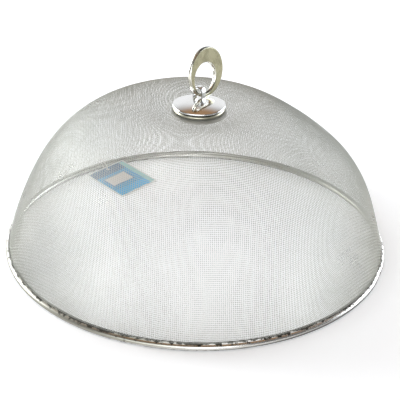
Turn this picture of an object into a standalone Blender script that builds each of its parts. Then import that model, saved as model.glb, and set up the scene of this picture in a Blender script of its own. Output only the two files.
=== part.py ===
"""Mesh food cover: a dome of woven wire in a rolled rim, with a ring pull on a chromed cup.

Metres, +Z up. The origin is on the table, at the centre of the rim.
"""

import math

import bmesh
import bpy
from mathutils import Matrix, Vector

# Clearances and facets
GAP = 0.0003  # between pieces that touch on the real object
OVERRUN = 0.002  # how far a cutter runs past what it cuts
MERGE = 0.00001  # joins only points that coincide
RIM_STEPS = 60  # facets round the rim and the dome
KNOB_STEPS = 32  # facets round the cup, the disc and the washer
ARC_STEPS = 4  # facets in a small round of an outline

# Rim: a strip rolled into a bead round a hoop of wire
RIM_RADIUS = 0.175  # outside of the bead
BEAD_DIAMETER = 0.0055
BEAD_WALL = 0.0005
BEAD_FOOT = 0.0012  # width of the flat that the bead stands on
BEAD_LIP = 0.0015  # how far the strip's edges stand up along the mesh
BEAD_SEAM_GAP = 0.0006  # between the two ends of the strip
BEAD_SEAM_TURN = math.radians(252)  # where the seam is, round from +X
BEAD_STEPS = 6  # facets in each of the bead's two arcs
CORE_WIRE_DIAMETER = 0.0028
CORE_WIRE_SIDES = 6

# Dome of woven wire
DOME_HEIGHT = 0.1336  # top of the crown
DOME_SKIN = 0.0008  # a little more than two crossed wires
SKIRT_LEAN = math.radians(11.6)  # from upright, where the skirt enters the bead
SKIRT_REACH = 0.056  # how strongly the skirt keeps that lean
SHOULDER_REACH = 0.061  # how strongly the shoulder keeps level with the crown
CROWN_RADIUS = 0.057
SEAT_RADIUS = 0.0255  # the flat that the cup presses into the crown
SEAT_DEPTH = 0.0026
DOME_HOLE_RADIUS = 0.0066  # opened for the legs of the strap
SIDE_STEPS = 13  # facets down the side, of which the last is the hem
SEAT_STEPS = 4  # facets down into the seat
GRID_COLUMNS = 20  # of the plain grid of openings that stands for the weave
GRID_BAR = 0.004  # width of its bars
GRID_FACETS = 2  # height of its openings, in facets down the side

# Chromed cup
CUP_RADIUS = 0.0235
CUP_HEIGHT = 0.0103
CUP_WALL = 0.0008
CUP_EDGE_HEIGHT = 0.0047  # height of the widest circle above the lip
CUP_EDGE_ROUND = 0.001
CUP_EDGE_TURN = math.radians(60)  # how far its rounding turns above and below the widest circle
CUP_NECK_RADIUS = 0.0213  # the crease under the edge
CUP_NECK_HEIGHT = 0.003
CUP_LIP_RADIUS = 0.0226
CUP_LIP_ROUND = 0.0012

# Clamp inside the dome
DISC_RADIUS = 0.0245
DISC_THICKNESS = 0.001
DISC_EDGE_ROUND = 0.002  # how far the disc's edge is turned down
WASHER_RADIUS = 0.0095
WASHER_THICKNESS = 0.0015

# Strap, with two legs that go down through the cup
STRAP_WIDTH = 0.005
STRAP_THICKNESS = 0.0012
STRAP_PLAY = 0.0002  # between each leg and the ring's band as it turns
STRAP_RISE = 0.012  # top of the strap above the cup
STRAP_BEND = 0.0012  # radius of the bend above each foot
STRAP_FOOT = 0.003  # straight length of each foot
STRAP_ARCH_STEPS = 10

# Ring pull
RING_RADIUS = 0.022
RING_THICKNESS = 0.0036
RING_EDGE = 0.001  # rounding of its edges
RING_HOLE_RADIUS = 0.0136
RING_THIN_BAND = 0.003  # band at the strap, where the hole comes nearest the edge
RING_TURN = math.radians(51)  # the strap's turn about the upright axis
RING_SLIP = math.radians(30)  # how far the ring has slid round in the strap
RING_TIP = math.radians(6)  # how far it tips back
RING_PLAY = 0.0002  # between its edge and the cup as it swings
RING_STEPS = 40
RING_HOLE_STEPS = 30

# Card tied inside the dome
TAG_WIDTH = 0.050
TAG_LENGTH = 0.0515
TAG_THICKNESS = 0.0008
TAG_CORNER = 0.0015
TAG_HOLE_RADIUS = 0.0022
TAG_HOLE_INSET = 0.004  # from the card's outer edge to the hole's centre
TAG_HOLE_HEIGHT = 0.0055
TAG_HOLE_TO_RIM = 0.018  # from the hole's centre out to the outside of the bead
TAG_TURN = math.radians(126.7)  # where the card is, round from +X
TAG_SKEW = math.radians(12)  # how far it lies out of line with the dome's axis
TAG_HOLE_STEPS = 12

# Thread loop that ties it to the mesh
TIE_DIAMETER = 0.001
TIE_LOW_HEIGHT = 0.0092  # of the lower opening in the mesh
TIE_HIGH_HEIGHT = 0.0128
TIE_OPENING = 0.0025  # width of each opening
TIE_SAG = 0.0043  # how far the loop hangs below the hole of the card
TIE_RISE = 0.003  # how far it stands above that hole
TIE_PULL = 0.0008  # how far it is drawn outwards in the hole
TIE_ROOM = 0.001  # between the loop's lower run and the card's edge
TIE_STEPS = 36

TAG_HOLE_DISTANCE = RIM_RADIUS - TAG_HOLE_TO_RIM  # from the dome's axis

# Heights of the pieces that are stacked on the crown
SEAT_TOP = DOME_HEIGHT - SEAT_DEPTH
CUP_BOTTOM = SEAT_TOP + GAP
CUP_TOP = CUP_BOTTOM + CUP_HEIGHT
DISC_TOP = SEAT_TOP - DOME_SKIN - GAP
WASHER_TOP = DISC_TOP - DISC_THICKNESS - GAP
FOOT_TOP = WASHER_TOP - WASHER_THICKNESS - GAP

# Middle of the bead's section, and the way in which the mesh enters it
BEAD_RADIUS = BEAD_DIAMETER / 2
BEAD_MIDDLE = Vector((
    RIM_RADIUS - BEAD_RADIUS,
    math.sqrt(BEAD_RADIUS**2 - (BEAD_FOOT / 2) ** 2),
))
SKIRT_UP = Vector((-math.sin(SKIRT_LEAN), math.cos(SKIRT_LEAN)))
SKIRT_OUT = Vector((math.cos(SKIRT_LEAN), math.sin(SKIRT_LEAN)))

# Middles of the ring and of its hole, from the swing axis along the line on which the ring has slid
RING_MIDDLE = RING_RADIUS - RING_THIN_BAND / 2
HOLE_MIDDLE = RING_THIN_BAND / 2 + RING_HOLE_RADIUS


def swing_reach(offset):
    """How far an edge of the ring at this offset from the swing axis reaches as it turns."""
    return math.hypot(offset - RING_EDGE, RING_THICKNESS / 2 - RING_EDGE) + RING_EDGE


def band_top(across):
    """Height of the hole's edge over the swing axis, this far along the axis."""
    aside = HOLE_MIDDLE * math.sin(RING_SLIP) + across
    return HOLE_MIDDLE * math.cos(RING_SLIP) - math.sqrt(RING_HOLE_RADIUS**2 - aside**2)


def ring_depth(across):
    """How far the ring reaches below the swing axis, this far along the axis."""
    aside = RING_MIDDLE * math.sin(RING_SLIP) - across
    return math.sqrt(RING_RADIUS**2 - aside**2) - RING_MIDDLE * math.cos(RING_SLIP)


def ball_radius(half_width, rise):
    """Radius of a ball, of which a cap has this half width and rise."""
    return (half_width**2 + rise**2) / (2 * rise)


def cup_height(offset):
    """Height of the cup's dome, this far from its middle."""
    half_width = CUP_RADIUS - CUP_EDGE_ROUND * (1 - math.cos(CUP_EDGE_TURN))
    edge_height = CUP_BOTTOM + CUP_EDGE_HEIGHT + CUP_EDGE_ROUND * math.sin(CUP_EDGE_TURN)
    radius = ball_radius(half_width, CUP_TOP - edge_height)
    return CUP_TOP - radius + math.sqrt(radius**2 - offset**2)


# The ring's lower edge, from the strap to its lowest point, clears the cup at every swing
LOWEST_ASIDE = RING_MIDDLE * math.sin(RING_SLIP)
LOWER_EDGE = [LOWEST_ASIDE * i / RING_STEPS for i in range(RING_STEPS + 1)]
RING_AXIS_HEIGHT = max(cup_height(x) + swing_reach(ring_depth(x)) for x in LOWER_EDGE) + RING_PLAY

# Its band passes between the legs
STRAP_SPAN = 2 * (swing_reach(band_top(STRAP_WIDTH / 2)) + STRAP_PLAY)


def clear_scene():
    for obj in list(bpy.data.objects):
        bpy.data.objects.remove(obj, do_unlink=True)


def new_collection(name):
    collection = bpy.data.collections.new(name)
    bpy.context.scene.collection.children.link(collection)
    return collection


clear_scene()
PARTS = new_collection("mesh_food_cover")
CUTTERS = new_collection("cutters")


def finish(name, colour, metallic, roughness):
    material = bpy.data.materials.new(name)
    material.use_nodes = True
    shader = material.node_tree.nodes["Principled BSDF"]
    shader.inputs["Base Color"].default_value = (*colour, 1)
    shader.inputs["Metallic"].default_value = metallic
    shader.inputs["Roughness"].default_value = roughness
    return material


WOVEN_WIRE = finish("woven_wire", (0.78, 0.77, 0.74), 1, 0.35)
BRIGHT_STRIP = finish("bright_strip", (0.86, 0.85, 0.81), 1, 0.22)
PLAIN_STEEL = finish("plain_steel", (0.62, 0.61, 0.59), 1, 0.4)
CHROME = finish("chrome", (0.90, 0.90, 0.89), 1, 0.07)
RING_PLATING = finish("ring_plating", (0.72, 0.71, 0.62), 1, 0.18)
BLUE_CARD = finish("blue_card", (0.05, 0.36, 0.62), 0, 0.45)
THREAD = finish("thread", (0.85, 0.84, 0.80), 0, 0.8)


def place(name, data, material=None, collection=PARTS):
    """An object of this mesh or curve, in a collection."""
    obj = bpy.data.objects.new(name, data)
    collection.objects.link(obj)
    if material:
        data.materials.append(material)
    return obj


def as_cutter(obj):
    obj.hide_render = True
    obj.display_type = "WIRE"
    return obj


def cut(obj, cutter):
    boolean = obj.modifiers.new(cutter.name, "BOOLEAN")
    boolean.operation = "DIFFERENCE"
    boolean.object = cutter


def arc(middle, radius, start, end, steps):
    """Points (x, z) on an arc, from one angle to the other."""
    turns = [start + (end - start) * i / steps for i in range(steps + 1)]
    return [Vector((middle[0] + radius * math.cos(a), middle[1] + radius * math.sin(a))) for a in turns]


def line_mesh(name, points):
    """A mesh of edges through points (x, z) in the XZ plane."""
    mesh = bpy.data.meshes.new(name)
    edges = [(i, i + 1) for i in range(len(points) - 1)]
    mesh.from_pydata([(x, 0, z) for x, z in points], edges, [])
    return mesh


def turned(name, outline, wall, material, steps, turn=math.tau):
    """A shell turned about Z. The outline is its outer side, from the top down, and the wall lies inside."""
    obj = place(name, line_mesh(name, outline), material)
    screw = obj.modifiers.new("turn", "SCREW")
    screw.angle = turn
    screw.steps = screw.render_steps = steps
    screw.use_merge_vertices = turn == math.tau
    screw.merge_threshold = MERGE
    screw.use_smooth_shade = True
    thicken(obj, wall, -1)
    return obj


def thicken(obj, thickness, offset):
    solidify = obj.modifiers.new("wall", "SOLIDIFY")
    solidify.thickness = thickness
    solidify.offset = offset
    solidify.use_even_offset = True


def cube(name, size, middle, collection, material=None):
    """A box of this size, in its own object's axes."""
    mesh = bpy.data.meshes.new(name)
    shape = bmesh.new()
    bmesh.ops.create_cube(shape, size=1, matrix=Matrix.Translation(middle) @ Matrix.Diagonal((*size, 1)))
    shape.to_mesh(mesh)
    shape.free()
    return place(name, mesh, material, collection)


def rod(name, radius, length, sides, collection, material=None):
    """A cylinder along Z about its object's origin."""
    mesh = bpy.data.meshes.new(name)
    shape = bmesh.new()
    bmesh.ops.create_cone(
        shape, cap_ends=True, segments=sides, radius1=radius, radius2=radius, depth=length
    )
    shape.to_mesh(mesh)
    shape.free()
    return place(name, mesh, material, collection)


def skirt_foot():
    """Outer side of the mesh where it ends in the bead, just above the core wire."""
    above_middle = CORE_WIRE_DIAMETER / 2 + GAP
    return BEAD_MIDDLE + SKIRT_UP * above_middle + SKIRT_OUT * DOME_SKIN / 2


def dome_outline():
    """Outer side of the dome, from the hole in its crown out and down to the hem."""
    points = [Vector((DOME_HOLE_RADIUS, SEAT_TOP))]
    for i in range(SEAT_STEPS + 1):
        share = i / SEAT_STEPS
        lift = SEAT_DEPTH * (1 - math.cos(math.pi * share)) / 2
        points.append(Vector((SEAT_RADIUS + (CROWN_RADIUS - SEAT_RADIUS) * share, SEAT_TOP + lift)))
    crown = Vector((CROWN_RADIUS, DOME_HEIGHT))
    shoulder = crown + Vector((SHOULDER_REACH, 0))
    foot = skirt_foot()
    skirt = foot + SKIRT_UP * SKIRT_REACH
    for i in range(1, SIDE_STEPS + 1):
        t = i / SIDE_STEPS
        s = 1 - t
        points.append(s**3 * crown + 3 * s * s * t * shoulder + 3 * s * t * t * skirt + t**3 * foot)
    return points


def dome_radius_at(height):
    """Outer radius of the dome's skirt at a height."""
    outline = dome_outline()
    for above, below in zip(outline, outline[1:]):
        if below.y <= height <= above.y and below.x > CROWN_RADIUS:
            return below.x + (above.x - below.x) * (height - below.y) / (above.y - below.y)
    return outline[-1].x


def grid_row(step):
    """Row of openings at this facet down the outline, or None where the mesh is left whole."""
    down_side = step - SEAT_STEPS - 1
    if 1 < step <= SEAT_STEPS:
        return 0
    if 0 <= down_side < SIDE_STEPS - 1:
        return 1 + down_side // GRID_FACETS
    return None


def open_grid(shape, step):
    """Opens the grid: the facets between two bars are drawn in by half a bar's width and taken out."""
    openings = {}
    for face in shape.faces:
        middle = face.calc_center_median()
        column = int(math.atan2(middle.y, middle.x) % math.tau / math.tau * GRID_COLUMNS)
        row = grid_row(min(vert[step] for vert in face.verts))
        if row is not None:
            openings.setdefault((column, row), []).append(face)
    for faces in openings.values():
        bmesh.ops.inset_region(shape, faces=faces, thickness=GRID_BAR / 2, use_even_offset=True)
        bmesh.ops.delete(shape, geom=faces, context="FACES")


def make_dome():
    """A shell with a plain grid of openings, but none in the seat and the hem."""
    mesh = bpy.data.meshes.new("mesh_dome")
    shape = bmesh.new()
    step = shape.verts.layers.int.new("step")
    points = [shape.verts.new((x, 0, z)) for x, z in dome_outline()]
    for i, point in enumerate(points):
        point[step] = i
    edges = [shape.edges.new(ends) for ends in zip(points, points[1:])]
    bmesh.ops.spin(
        shape, geom=points + edges, axis=(0, 0, 1), angle=math.tau, steps=RIM_STEPS, use_merge=True
    )
    bmesh.ops.recalc_face_normals(shape, faces=shape.faces[:])
    open_grid(shape, step)
    shape.to_mesh(mesh)
    shape.free()
    mesh.shade_smooth()
    dome = place("mesh_dome", mesh, WOVEN_WIRE)
    thicken(dome, DOME_SKIN, -1)
    return dome


def make_rim():
    """The rolled strip, with its edges turned up along both sides of the mesh, and the wire inside it."""
    up = math.pi / 2 + SKIRT_LEAN
    slit = math.asin((DOME_SKIN / 2 + GAP + BEAD_WALL) / BEAD_RADIUS)
    foot = math.asin(BEAD_FOOT / 2 / BEAD_RADIUS)
    down = -math.pi / 2
    section = arc(BEAD_MIDDLE, BEAD_RADIUS, up - slit, down + foot, BEAD_STEPS)
    section += arc(BEAD_MIDDLE, BEAD_RADIUS, down - foot, up + slit - math.tau, BEAD_STEPS)
    section = [section[0] + SKIRT_UP * BEAD_LIP, *section, section[-1] + SKIRT_UP * BEAD_LIP]
    seam = BEAD_SEAM_GAP / RIM_RADIUS
    bead = turned("rim_bead", section, BEAD_WALL, BRIGHT_STRIP, RIM_STEPS, math.tau - seam)
    bead.rotation_euler.z = BEAD_SEAM_TURN + seam / 2

    bpy.ops.mesh.primitive_torus_add(
        major_radius=BEAD_MIDDLE.x,
        minor_radius=CORE_WIRE_DIAMETER / 2,
        major_segments=RIM_STEPS,
        minor_segments=CORE_WIRE_SIDES,
        location=(0, 0, BEAD_MIDDLE.y),
    )
    wire = bpy.context.object
    wire.name = wire.data.name = "rim_core_wire"
    wire.data.shade_smooth()
    wire.data.materials.append(PLAIN_STEEL)
    for collection in list(wire.users_collection):
        collection.objects.unlink(wire)
    PARTS.objects.link(wire)
    return bead, wire


def dome_arc(edge, top, steps):
    """A low spherical dome, from its top on the axis to its edge."""
    radius = ball_radius(edge.x, top - edge.y)
    end = math.asin(edge.x / radius)
    return arc((0, top - radius), radius, math.pi / 2, math.pi / 2 - end, steps)


def make_cup():
    """A low dome with its edge turned under to a crease, then out to a rolled lip."""
    widest = (CUP_RADIUS - CUP_EDGE_ROUND, CUP_BOTTOM + CUP_EDGE_HEIGHT)
    edge = arc(widest, CUP_EDGE_ROUND, CUP_EDGE_TURN, -CUP_EDGE_TURN, ARC_STEPS)
    lip = (CUP_LIP_RADIUS - CUP_LIP_ROUND, CUP_BOTTOM + CUP_LIP_ROUND)
    outline = dome_arc(edge[0], CUP_TOP, ARC_STEPS)[:-1] + edge
    outline.append(Vector((CUP_NECK_RADIUS, CUP_BOTTOM + CUP_NECK_HEIGHT)))
    outline += arc(lip, CUP_LIP_ROUND, CUP_EDGE_TURN, -math.pi / 2, ARC_STEPS)
    return turned("knob_cup", outline, CUP_WALL, CHROME, KNOB_STEPS)


def make_disc():
    """The pressed disc inside the dome, with its edge turned down."""
    edge = (DISC_RADIUS - DISC_EDGE_ROUND, DISC_TOP - DISC_EDGE_ROUND)
    outline = [Vector((0, DISC_TOP))] + arc(edge, DISC_EDGE_ROUND, math.pi / 2, 0, ARC_STEPS)
    return turned("backing_disc", outline, DISC_THICKNESS, PLAIN_STEEL, KNOB_STEPS)


def make_washer():
    washer = rod("clinch_washer", WASHER_RADIUS, WASHER_THICKNESS, KNOB_STEPS, PARTS, PLAIN_STEEL)
    washer.location.z = WASHER_TOP - WASHER_THICKNESS / 2
    return washer


def strap_path():
    """Middle line of the strap in its own XZ plane, from one foot's tip over the arch to the other's."""
    leg = (STRAP_SPAN + STRAP_THICKNESS) / 2
    arch = CUP_TOP + STRAP_RISE - STRAP_THICKNESS / 2 - leg
    bend = (leg + STRAP_BEND, FOOT_TOP - STRAP_THICKNESS / 2 + STRAP_BEND)
    half = [Vector((bend[0] + STRAP_FOOT, bend[1] - STRAP_BEND))]
    half += arc(bend, STRAP_BEND, -math.pi / 2, -math.pi, ARC_STEPS)
    over = arc((0, arch), leg, 0, math.pi, STRAP_ARCH_STEPS)
    return half + over + [Vector((-x, z)) for x, z in reversed(half)]


def make_strap(pivot):
    mesh = line_mesh("ring_strap", strap_path())
    shape = bmesh.new()
    shape.from_mesh(mesh)
    ribbon = bmesh.ops.extrude_edge_only(shape, edges=shape.edges[:])
    moved = [v for v in ribbon["geom"] if isinstance(v, bmesh.types.BMVert)]
    bmesh.ops.translate(shape, verts=moved, vec=(0, STRAP_WIDTH, 0))
    bmesh.ops.translate(shape, verts=shape.verts[:], vec=(0, -STRAP_WIDTH / 2, -RING_AXIS_HEIGHT))
    bmesh.ops.rotate(shape, verts=shape.verts[:], matrix=Matrix.Rotation(math.pi / 2, 3, "Z"))
    bmesh.ops.recalc_face_normals(shape, faces=shape.faces[:])
    shape.to_mesh(mesh)
    shape.free()
    strap = place("ring_strap", mesh, CHROME)
    strap.parent = pivot
    thicken(strap, STRAP_THICKNESS, 0)
    return strap


def slot_cutters(pivot):
    """One box round each leg of the strap, through the cup, the disc and the washer."""
    leg = (STRAP_SPAN + STRAP_THICKNESS) / 2
    low = FOOT_TOP - RING_AXIS_HEIGHT - OVERRUN
    high = CUP_TOP - RING_AXIS_HEIGHT + OVERRUN
    size = (STRAP_WIDTH + 2 * GAP, STRAP_THICKNESS + 2 * GAP, high - low)
    cutters = []
    for side, name in ((-1, "front_slot"), (1, "back_slot")):
        cutter = as_cutter(cube(name, size, (0, side * leg, (low + high) / 2), CUTTERS))
        cutter.parent = pivot
        cutters.append(cutter)
    return cutters


def add_circle(curve, middle, radius, steps):
    spline = curve.splines.new("POLY")
    spline.points.add(steps - 1)
    spline.use_cyclic_u = True
    for i, point in enumerate(spline.points):
        turn = math.tau * i / steps
        point.co = (middle[0] + radius * math.cos(turn), middle[1] + radius * math.sin(turn), 0, 1)


def make_ring(pivot):
    """The flat ring with its hole off centre. Its origin is on the swing axis."""
    curve = bpy.data.curves.new("pull_ring", "CURVE")
    curve.dimensions = "2D"
    curve.fill_mode = "BOTH"
    curve.extrude = RING_THICKNESS / 2 - RING_EDGE
    curve.bevel_depth = RING_EDGE
    curve.bevel_resolution = 1
    curve.offset = -RING_EDGE
    away = Vector((math.sin(RING_SLIP), math.cos(RING_SLIP)))
    add_circle(curve, away * RING_MIDDLE, RING_RADIUS, RING_STEPS)
    add_circle(curve, away * HOLE_MIDDLE, RING_HOLE_RADIUS, RING_HOLE_STEPS)
    ring = place("pull_ring", curve, RING_PLATING)
    ring.parent = pivot
    ring.rotation_euler.x = math.pi / 2 - RING_TIP
    return ring


def make_knob():
    pivot = place("ring_axis", None)
    pivot.location.z = RING_AXIS_HEIGHT
    pivot.rotation_euler.z = RING_TURN
    make_strap(pivot)
    make_ring(pivot)
    clamped = [make_cup(), make_disc(), make_washer()]
    for cutter in slot_cutters(pivot):
        for piece in clamped:
            cut(piece, cutter)


def make_tag():
    """The card, which slopes from its tied edge down to the table."""
    reach = TAG_LENGTH - TAG_HOLE_INSET
    slope = math.asin((TAG_HOLE_HEIGHT - TAG_THICKNESS / 2 - GAP) / reach)
    pivot = place("tag_axis", None)
    pivot.location = tag_hole()
    pivot.rotation_euler = (-slope, 0, TAG_TURN + math.pi / 2 + TAG_SKEW)
    size = (TAG_WIDTH, TAG_LENGTH, TAG_THICKNESS)
    card = cube("tag_card", size, (0, TAG_LENGTH / 2 - TAG_HOLE_INSET, 0), PARTS, BLUE_CARD)
    card.parent = pivot
    corners = card.modifiers.new("corners", "BEVEL")
    corners.width = TAG_CORNER
    corners.segments = 2
    corners.limit_method = "WEIGHT"
    weights = card.data.attributes.new("bevel_weight_edge", "FLOAT", "EDGE")
    for edge, weight in zip(card.data.edges, weights.data):
        ends = [card.data.vertices[v].co for v in edge.vertices]
        weight.value = float(abs(ends[0].z - ends[1].z) > TAG_THICKNESS / 2)
    punch = rod("tag_punch", TAG_HOLE_RADIUS, TAG_THICKNESS + 2 * OVERRUN, TAG_HOLE_STEPS, CUTTERS)
    as_cutter(punch).parent = pivot
    cut(card, punch)
    return card


def tag_hole():
    return Vector((
        TAG_HOLE_DISTANCE * math.cos(TAG_TURN),
        TAG_HOLE_DISTANCE * math.sin(TAG_TURN),
        TAG_HOLE_HEIGHT,
    ))


def tie_route():
    """Corners of the thread loop: x runs outwards from the card's hole, and z is the height."""
    in_low = dome_radius_at(TIE_LOW_HEIGHT) - TAG_HOLE_DISTANCE
    in_high = dome_radius_at(TIE_HIGH_HEIGHT) - TAG_HOLE_DISTANCE
    outside = TIE_DIAMETER / 2 + GAP
    under = TAG_HOLE_HEIGHT - TIE_SAG
    over = TAG_HOLE_HEIGHT + TIE_RISE
    round_edge = TAG_HOLE_INSET + TIE_DIAMETER / 2 + TIE_ROOM
    turn = math.radians(45)
    return [
        (TIE_PULL, under),
        (TIE_PULL, TAG_HOLE_HEIGHT),
        (TIE_PULL, over),
        (in_high / 2, (over + TIE_HIGH_HEIGHT) / 2),
        (in_high, TIE_HIGH_HEIGHT),
        (in_high + 2 * outside, (TIE_HIGH_HEIGHT + TIE_LOW_HEIGHT) / 2),
        (in_low, TIE_LOW_HEIGHT),
        (round_edge * math.cos(turn), TAG_HOLE_HEIGHT - round_edge * math.sin(turn)),
    ]


def round_trip(corners, steps):
    """Points on a smooth closed curve through the corners."""
    count = len(corners)
    points = []
    for i in range(steps):
        at = i * count / steps
        k = int(at)
        t = at - k
        a, b, c, d = (Vector(corners[(k + j) % count]) for j in (-1, 0, 1, 2))
        bend = (2 * a - 5 * b + 4 * c - d) * t**2 / 2 + (3 * b - a - 3 * c + d) * t**3 / 2
        points.append(b + (c - a) * t / 2 + bend)
    return points


def make_tie(dome):
    curve = bpy.data.curves.new("tag_tie", "CURVE")
    curve.dimensions = "3D"
    curve.bevel_depth = TIE_DIAMETER / 2
    curve.bevel_resolution = 1
    spline = curve.splines.new("POLY")
    spline.points.add(TIE_STEPS - 1)
    spline.use_cyclic_u = True
    for point, (out, height) in zip(spline.points, round_trip(tie_route(), TIE_STEPS)):
        point.co = (out, 0, height, 1)
    tie = place("tag_tie", curve, THREAD)
    tie.location = (tag_hole().x, tag_hole().y, 0)
    tie.rotation_euler.z = TAG_TURN

    for name, height in (("low_opening", TIE_LOW_HEIGHT), ("high_opening", TIE_HIGH_HEIGHT)):
        out = dome_radius_at(height)
        size = (DOME_SKIN + 2 * OVERRUN, TIE_OPENING, TIE_OPENING)
        opening = as_cutter(cube(name, size, (out, 0, height), CUTTERS))
        opening.rotation_euler.z = TAG_TURN
        cut(dome, opening)
    return tie


def main():
    dome = make_dome()
    make_rim()
    make_knob()
    make_tag()
    make_tie(dome)


main()
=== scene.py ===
"""Looks of the mesh food cover: woven wires, a rolled bead, a chromed knob with its ring, and a tied card.

Metres, in the frame of the CAD model. Sizes that repeat the CAD source have the same names there.
"""

import math

import bmesh
import bpy
import numpy as np
from mathutils import Matrix, Vector


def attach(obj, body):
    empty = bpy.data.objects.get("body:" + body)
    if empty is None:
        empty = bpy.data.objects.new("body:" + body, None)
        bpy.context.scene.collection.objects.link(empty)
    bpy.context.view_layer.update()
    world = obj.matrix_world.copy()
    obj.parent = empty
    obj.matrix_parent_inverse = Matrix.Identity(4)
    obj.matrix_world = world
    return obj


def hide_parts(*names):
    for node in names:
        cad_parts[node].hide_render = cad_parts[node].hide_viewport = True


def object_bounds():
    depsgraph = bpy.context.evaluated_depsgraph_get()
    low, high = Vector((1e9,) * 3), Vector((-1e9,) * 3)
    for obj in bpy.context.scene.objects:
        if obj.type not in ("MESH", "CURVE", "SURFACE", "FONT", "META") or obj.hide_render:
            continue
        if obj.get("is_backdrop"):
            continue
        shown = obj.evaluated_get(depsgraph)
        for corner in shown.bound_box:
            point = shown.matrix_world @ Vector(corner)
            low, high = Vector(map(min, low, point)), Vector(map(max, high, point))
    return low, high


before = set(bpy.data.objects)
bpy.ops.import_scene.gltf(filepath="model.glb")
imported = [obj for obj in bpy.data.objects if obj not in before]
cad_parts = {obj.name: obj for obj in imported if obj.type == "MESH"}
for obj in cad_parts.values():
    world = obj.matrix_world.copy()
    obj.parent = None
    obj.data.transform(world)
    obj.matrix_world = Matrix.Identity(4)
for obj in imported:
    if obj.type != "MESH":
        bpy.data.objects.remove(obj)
CAD_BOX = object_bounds()

# Camera, solved from the rim's ellipse and the dome's outline in the photograph
IMAGE_SIZE = 400  # pixels
FOCAL_PIXELS = 1026.0
SENSOR = 36.0
RIM_CENTRE_PIXEL = (195.55, 238.35)
CAMERA_DISTANCE = 0.9625
CAMERA_ELEVATION = math.radians(28.677)
CAMERA_ROLL = math.radians(1.594)

# Rim
RIM_RADIUS = 0.175
BEAD_DIAMETER = 0.0055
BEAD_WALL = 0.0005
BEAD_FOOT = 0.0012
BEAD_SEAM_GAP = 0.0006
BEAD_SEAM_TURN = math.radians(252)
CORE_WIRE_DIAMETER = 0.0028
GAP = 0.0003
BEAD_LIP = 0.0015
BEAD_STEPS = 14  # facets in each of the bead's two arcs
RIM_STEPS = 300
BEAD_WAVE = 0.0002  # how far the strip wavers from a true circle
BEAD_WAVES = ((1.0, 5, 0.6), (0.7, 11, 2.1), (0.4, 29, 0.0))  # weight, count round the rim and start of each
BEAD_KINK = 0.0006  # a knock in the rim at the right front
BEAD_KINK_TURN = math.radians(-20)
BEAD_KINK_REACH = 0.05
MERGE = 0.000001

# Dome
DOME_HEIGHT = 0.1336
DOME_SKIN = 0.0008
SKIRT_LEAN = math.radians(11.6)
SKIRT_REACH = 0.056
SHOULDER_REACH = 0.061
CROWN_RADIUS = 0.057
SEAT_RADIUS = 0.0255
SEAT_DEPTH = 0.0026

OUTWARD_STEP = 0.001  # between the two points that give the way out of the dome
NET_ROUNDS = 12  # of solving for each crossing's place

# Weave
WIRE_PITCH = 0.0016
WIRE_RADIUS = 0.00016
WEAVE_TURN = math.radians(5)  # of the cloth about the dome's axis
WIRE_SIDES = 4
WIRE_PIECES = 3  # in which each of the two families of wires is made
KNOCKS = (
    # Where the used dome stands off a true one: middle of the knock along it from the crown, reach, side
    # (1 is right and -1 is left) and height
    (0.135, 0.075, -1, 0.0025),
    (0.105, 0.060, 1, -0.0055),
    (0.180, 0.045, 1, 0.0020),
)

# Cup, clamp and strap
KNOB_STEPS = 128
CUP_RADIUS = 0.0235
CUP_HEIGHT = 0.0103
CUP_WALL = 0.0008
CUP_EDGE_HEIGHT = 0.0047
CUP_EDGE_ROUND = 0.001
CUP_NECK_RADIUS = 0.0213
CUP_NECK_HEIGHT = 0.003
CUP_LIP_RADIUS = 0.0226
CUP_LIP_ROUND = 0.0012
DISC_RADIUS = 0.0245
DISC_THICKNESS = 0.001
DISC_EDGE_ROUND = 0.002
DISC_GROOVE_RADIUS = 0.0165
DISC_GROOVE_WIDTH = 0.005
DISC_GROOVE_DEPTH = 0.0006
WASHER_RADIUS = 0.0095
WASHER_THICKNESS = 0.0015
WASHER_EDGE = 0.0003
STRAP_WIDTH = 0.005
STRAP_THICKNESS = 0.0012
STRAP_EDGE = 0.0004
STRAP_SPAN = 0.008444
STRAP_RISE = 0.012
STRAP_BEND = 0.0012
STRAP_FOOT = 0.003

# Ring
RING_RADIUS = 0.022
RING_THICKNESS = 0.0036
RING_EDGE = 0.001
RING_BEVEL = 0.0016  # rounding at the hole, wider than at the outside
RING_HOLE_RADIUS = 0.0136
RING_THIN_BAND = 0.003
RING_AXIS_HEIGHT = 0.145491
RING_TURN = math.radians(51)
RING_SLIP = math.radians(30)
RING_TIP = math.radians(6)
RING_STEPS = 160

# Card and its thread
TAG_WIDTH = 0.050
TAG_LENGTH = 0.0515
TAG_THICKNESS = 0.0008
TAG_CORNER = 0.0015
TAG_BOW = 0.0004
TAG_HOLE_RADIUS = 0.0022
TAG_HOLE_INSET = 0.004
TAG_HOLE_HEIGHT = 0.0055
TAG_HOLE_DISTANCE = 0.157
TAG_TURN = math.radians(126.7)
TAG_SKEW = math.radians(12)
TIE_DIAMETER = 0.001
TIE_LOW_HEIGHT = 0.0092
TIE_HIGH_HEIGHT = 0.0128
TIE_SAG = 0.0043
TIE_RISE = 0.003
TIE_PULL = 0.0008
TIE_ROOM = 0.001
TIE_STEPS = 240
TIE_TWISTS = 16
TIE_FULLNESS = 1.05  # of each strand, so that the two press into each other

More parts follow.
